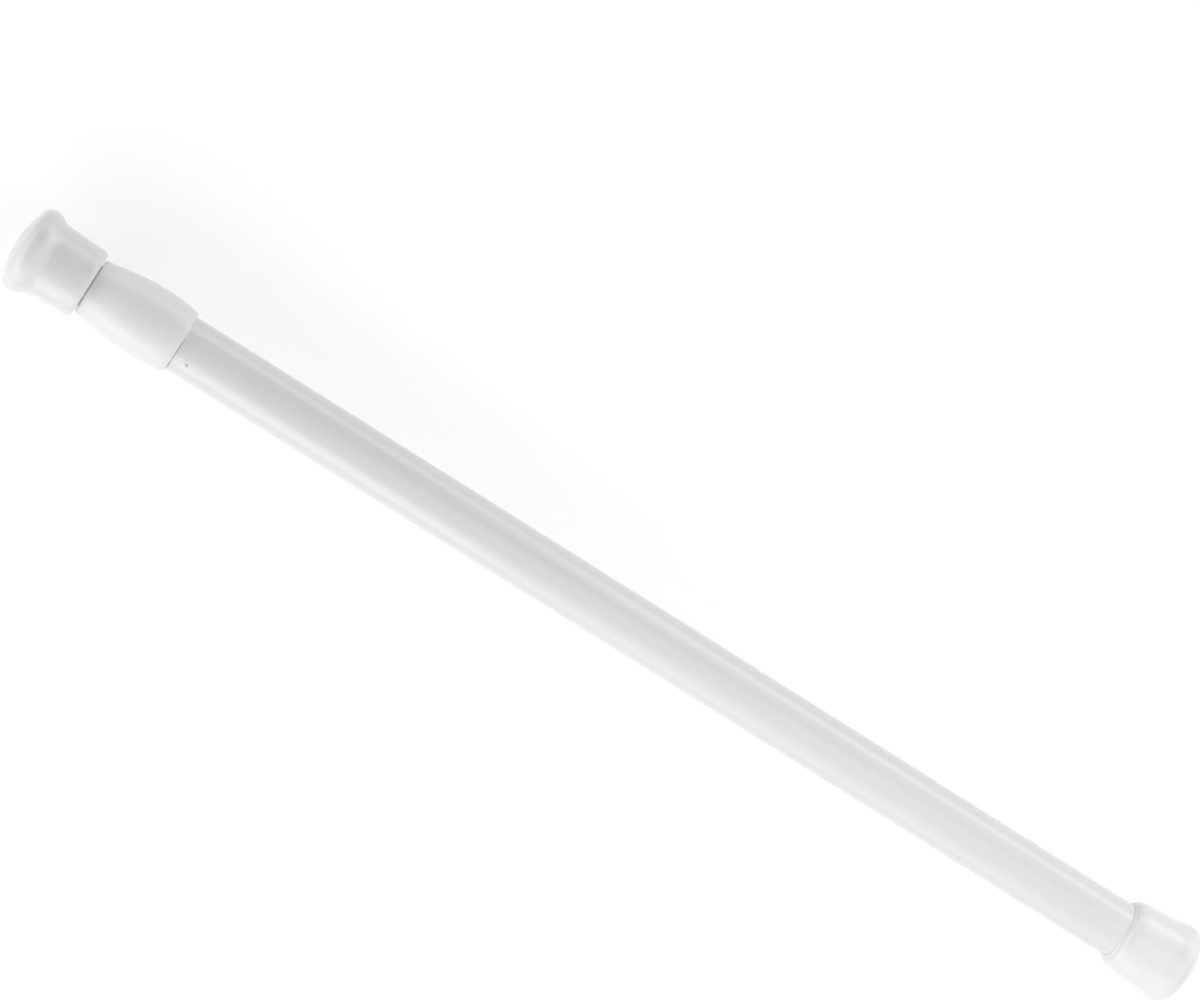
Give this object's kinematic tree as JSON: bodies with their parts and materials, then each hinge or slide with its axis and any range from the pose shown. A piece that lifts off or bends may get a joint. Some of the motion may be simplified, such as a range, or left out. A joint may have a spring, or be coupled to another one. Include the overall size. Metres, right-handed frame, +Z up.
{
  "type": "spring tension rod",
  "caption": "White telescopic curtain tension rod, closed: steel tubes, moulded collar, flared soft wall caps, and a twist lock with a spring inside.",
  "frame": {"origin": "centre of the outer end cap's flat wall pad, on the rod's axis", "axes": "+X along the rod's axis towards the inner end cap, +Z up with the rod level, +Y to complete a right-handed frame; the punch mark lies 30 degrees from +Z towards +Y"},
  "size_m": [0.3048, 0.0196, 0.0196],
  "materials": {
    "tube_white": "white powder coat, semi-gloss",
    "collar_white": "white moulded plastic, semi-gloss",
    "cap_white": "soft white vinyl, satin",
    "natural_plastic": "natural moulded plastic",
    "lock_plastic": "dark moulded plastic",
    "spring_steel": "drawn spring wire",
    "zinc_steel": "bright zinc plate"
  },
  "bodies": {
    "outer_half": {"outer_tube": "tube_white", "outer_end_cap": "cap_white", "collar": "collar_white"},
    "guide": {"guide_ring": "natural_plastic"},
    "inner_half": {"inner_tube": "tube_white", "inner_end_cap": "cap_white", "end_bush": "natural_plastic", "spring_seat": "natural_plastic", "spring": "spring_steel"},
    "screw": {"spindle": "lock_plastic", "end_clip": "spring_steel", "stop_washer": "zinc_steel", "stop_screw": "zinc_steel"},
    "sleeve": {"lock_sleeve": "natural_plastic"},
    "cone": {"lock_cone": "lock_plastic"}
  },
  "joints": [
    {"name": "extension", "type": "slide", "parent": "outer_half", "child": "guide", "axis": [1, 0, 0], "range_m": [0, 0.2]},
    {"name": "twist", "type": "hinge", "parent": "guide", "child": "inner_half", "pos_m": [0, 0, 0], "axis": [-1, 0, 0], "range_deg": [0, 540]},
    {"name": "spring_stroke", "type": "slide", "parent": "inner_half", "child": "screw", "axis": [1, 0, 0], "range_m": [0, 0.015], "stiffness_N_per_m": 2600, "springref_m": -0.004, "deforming": ["spring"]},
    {"name": "sleeve_turn", "type": "hinge", "parent": "screw", "child": "sleeve", "pos_m": [0, 0, 0], "axis": [-1, 0, 0], "range_deg": [-540, 0]},
    {"name": "cone_draw", "type": "slide", "parent": "sleeve", "child": "cone", "axis": [1, 0, 0], "range_m": [0, 0.00187]}
  ],
  "couplings": [
    {"joint": "sleeve_turn", "follows": "twist", "ratio": -1},
    {"joint": "cone_draw", "follows": "twist", "m_per_rad": 0.00019894}
  ]
}
